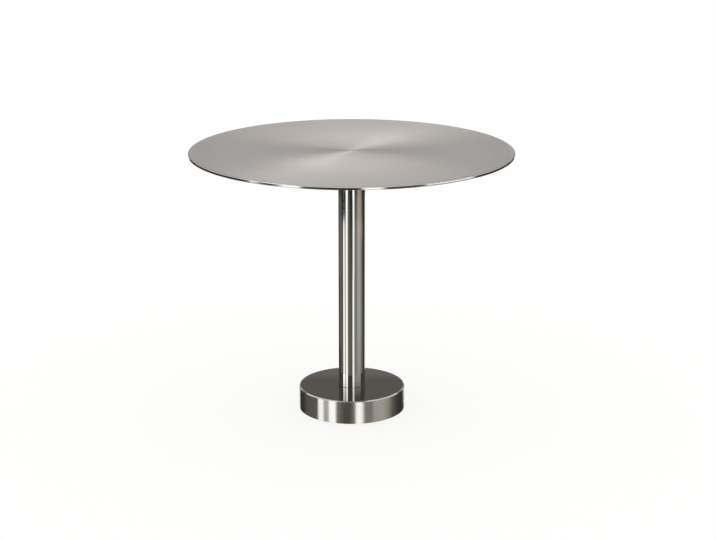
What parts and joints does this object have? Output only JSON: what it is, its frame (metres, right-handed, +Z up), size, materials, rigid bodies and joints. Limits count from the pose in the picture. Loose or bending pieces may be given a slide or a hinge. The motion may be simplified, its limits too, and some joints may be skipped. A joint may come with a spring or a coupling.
{
  "type": "pedestal side table",
  "caption": "Round side table: thin brushed stainless plate on a round tube post, standing on a round weighted base with a rubber ring under it.",
  "frame": {"origin": "on the floor under the middle of the base", "axes": "+Z up along the post, +X to the right and -Y to the front as the picture shows the table"},
  "size_m": [0.5999, 0.6, 0.5],
  "materials": {
    "brushed_top": "circular brushed stainless steel, with polished chamfers and edge",
    "satin_post": "satin polished stainless steel tube",
    "turned_base": "fine turned stainless steel, with a polished chamfer",
    "flange_steel": "machined steel, left as turned",
    "plate_steel": "zinc plated steel sheet",
    "plated_fasteners": "bright zinc plated",
    "ballast_iron": "cast iron, turned on its faces",
    "cork_rubber": "pressed cork and rubber sheet",
    "black_nylon": "moulded black nylon",
    "black_rubber": "matt black rubber"
  },
  "bodies": {
    "root": {"table_top": "brushed_top", "weld_studs": "plated_fasteners", "damping_gasket": "cork_rubber", "top_flange": "flange_steel", "top_spigot": "flange_steel", "stud_washers": "plated_fasteners", "stud_nuts": "plated_fasteners", "post_tube": "satin_post", "tie_rod": "plated_fasteners", "rod_jam_nut": "plated_fasteners", "foot_spigot": "flange_steel", "base_cover": "turned_base", "base_ballast": "ballast_iron", "rod_washer": "plated_fasteners", "rod_spring_washer": "plated_fasteners", "rod_nut": "plated_fasteners", "bottom_plate": "plate_steel", "plate_screws": "plated_fasteners", "access_plug": "black_nylon", "floor_ring": "black_rubber"}
  },
  "joints": []
}
